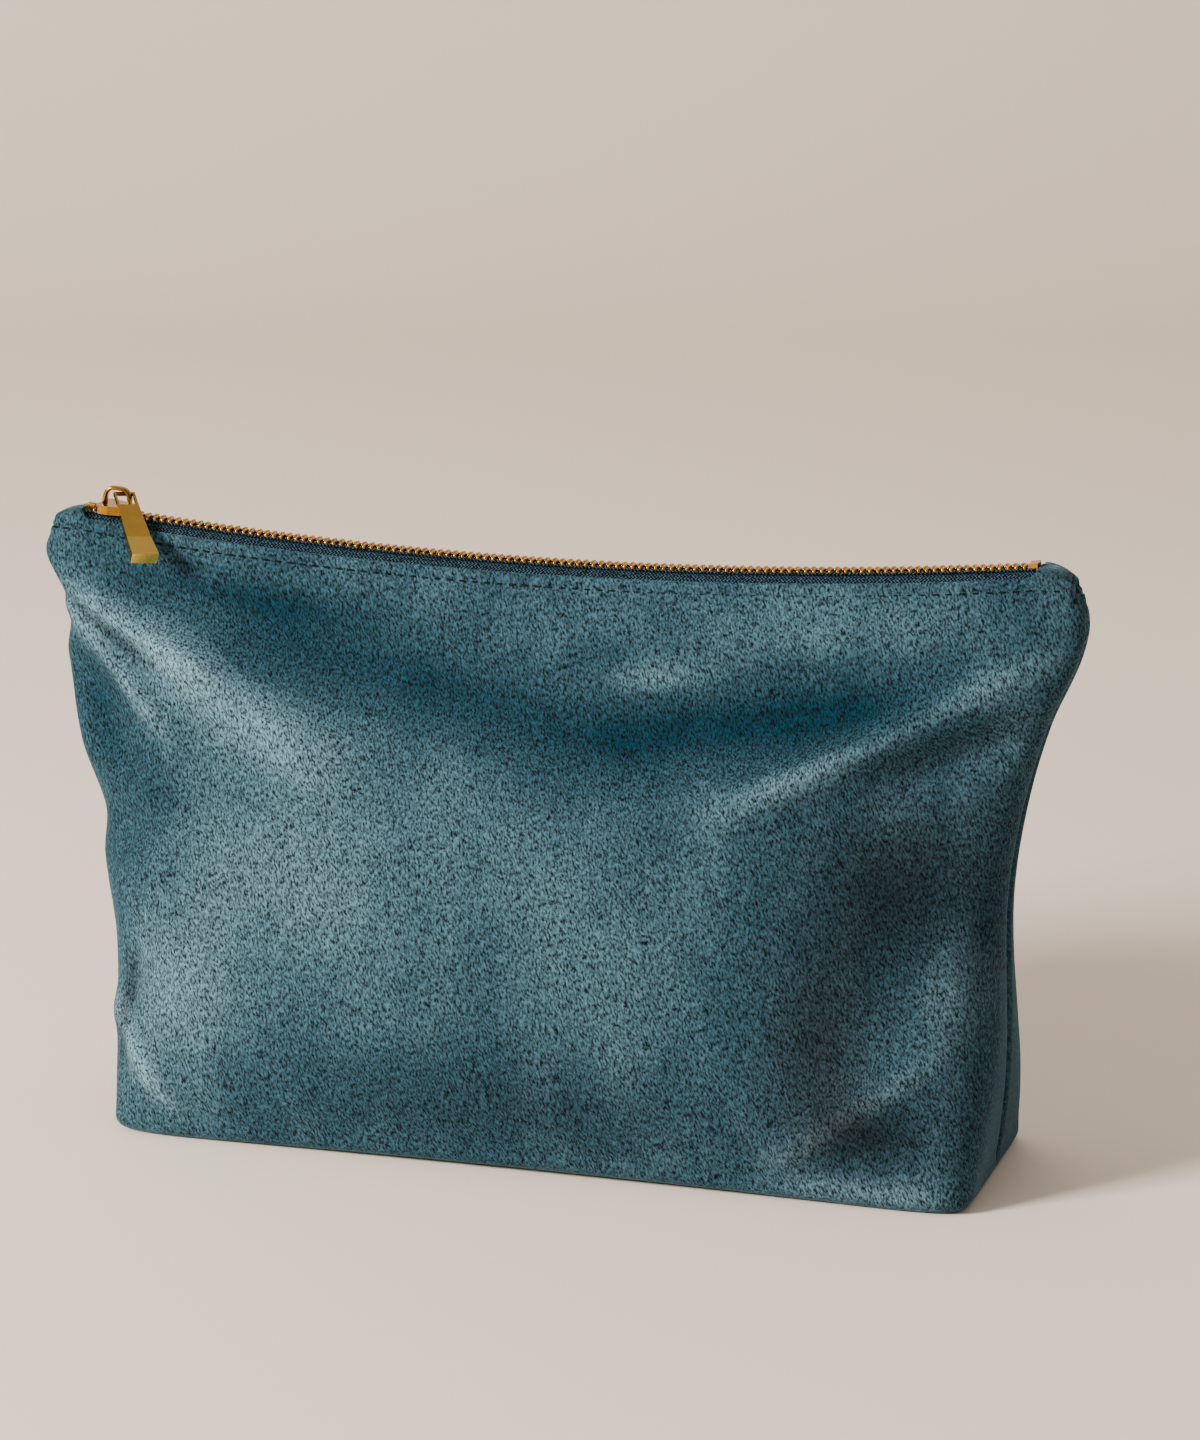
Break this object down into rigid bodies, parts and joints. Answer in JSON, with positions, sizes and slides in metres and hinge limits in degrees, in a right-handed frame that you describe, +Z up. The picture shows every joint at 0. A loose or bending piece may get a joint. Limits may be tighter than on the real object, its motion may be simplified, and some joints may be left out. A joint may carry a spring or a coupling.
{
  "type": "zippered pouch",
  "caption": "Soft velvet pouch with boxed bottom corners, a sagging metal zip across the top and a bar pull on its slider.",
  "frame": {"origin": "middle of the base, on the surface the pouch stands on", "axes": "+X along the zip from its closed end to its far end, -Y is the front that the pull hangs over, +Z up"},
  "size_m": [0.282, 0.074, 0.1691],
  "materials": {
    "velvet": "short pile velvet",
    "interlining": "non-woven",
    "lining": "plain weave",
    "zipper_tape": "herringbone weave",
    "thread": "spun thread",
    "teeth_metal": "satin",
    "pull_metal": "polished"
  },
  "bodies": {
    "root": {"outer_front_panel": "velvet", "outer_back_panel": "velvet", "interlining_front": "interlining", "interlining_back": "interlining", "lining_front": "lining", "lining_back": "lining", "zipper_tape_back": "zipper_tape", "teeth_row_back": "teeth_metal", "top_stop_front": "teeth_metal", "top_stop_back": "teeth_metal", "bottom_stop": "teeth_metal", "end_tab_left": "velvet", "end_tab_right": "velvet", "topstitch_front": "thread", "topstitch_back": "thread", "side_seam_thread_left": "thread", "side_seam_thread_right": "thread", "bottom_seam_thread": "thread"},
    "front_mouth": {"zipper_tape_front": "zipper_tape", "teeth_row_front": "teeth_metal"},
    "slider": {"slider_body": "pull_metal", "slider_bail": "pull_metal"},
    "pull": {"pull_tab": "pull_metal"}
  },
  "joints": [
    {"name": "slider_travel", "type": "hinge", "parent": "root", "child": "slider", "pos_m": [0, 0, 1.366], "axis": [0, -1, 0], "range_deg": [0, 11.48], "deforming": ["teeth_row_back", "zipper_tape_back"]},
    {"name": "mouth_open", "type": "slide", "parent": "root", "child": "front_mouth", "axis": [0, -1, 0], "range_m": [0, 0.028], "deforming": ["teeth_row_front", "zipper_tape_front"]},
    {"name": "pull_swing", "type": "hinge", "parent": "slider", "child": "pull", "pos_m": [-0.11876, 0, 0.16687], "axis": [-0.7841, -0.6157, 0.0788], "range_deg": [0, 115]}
  ],
  "couplings": [
    {"joint": "mouth_open", "follows": "slider_travel", "m_per_rad": 0.1397}
  ]
}
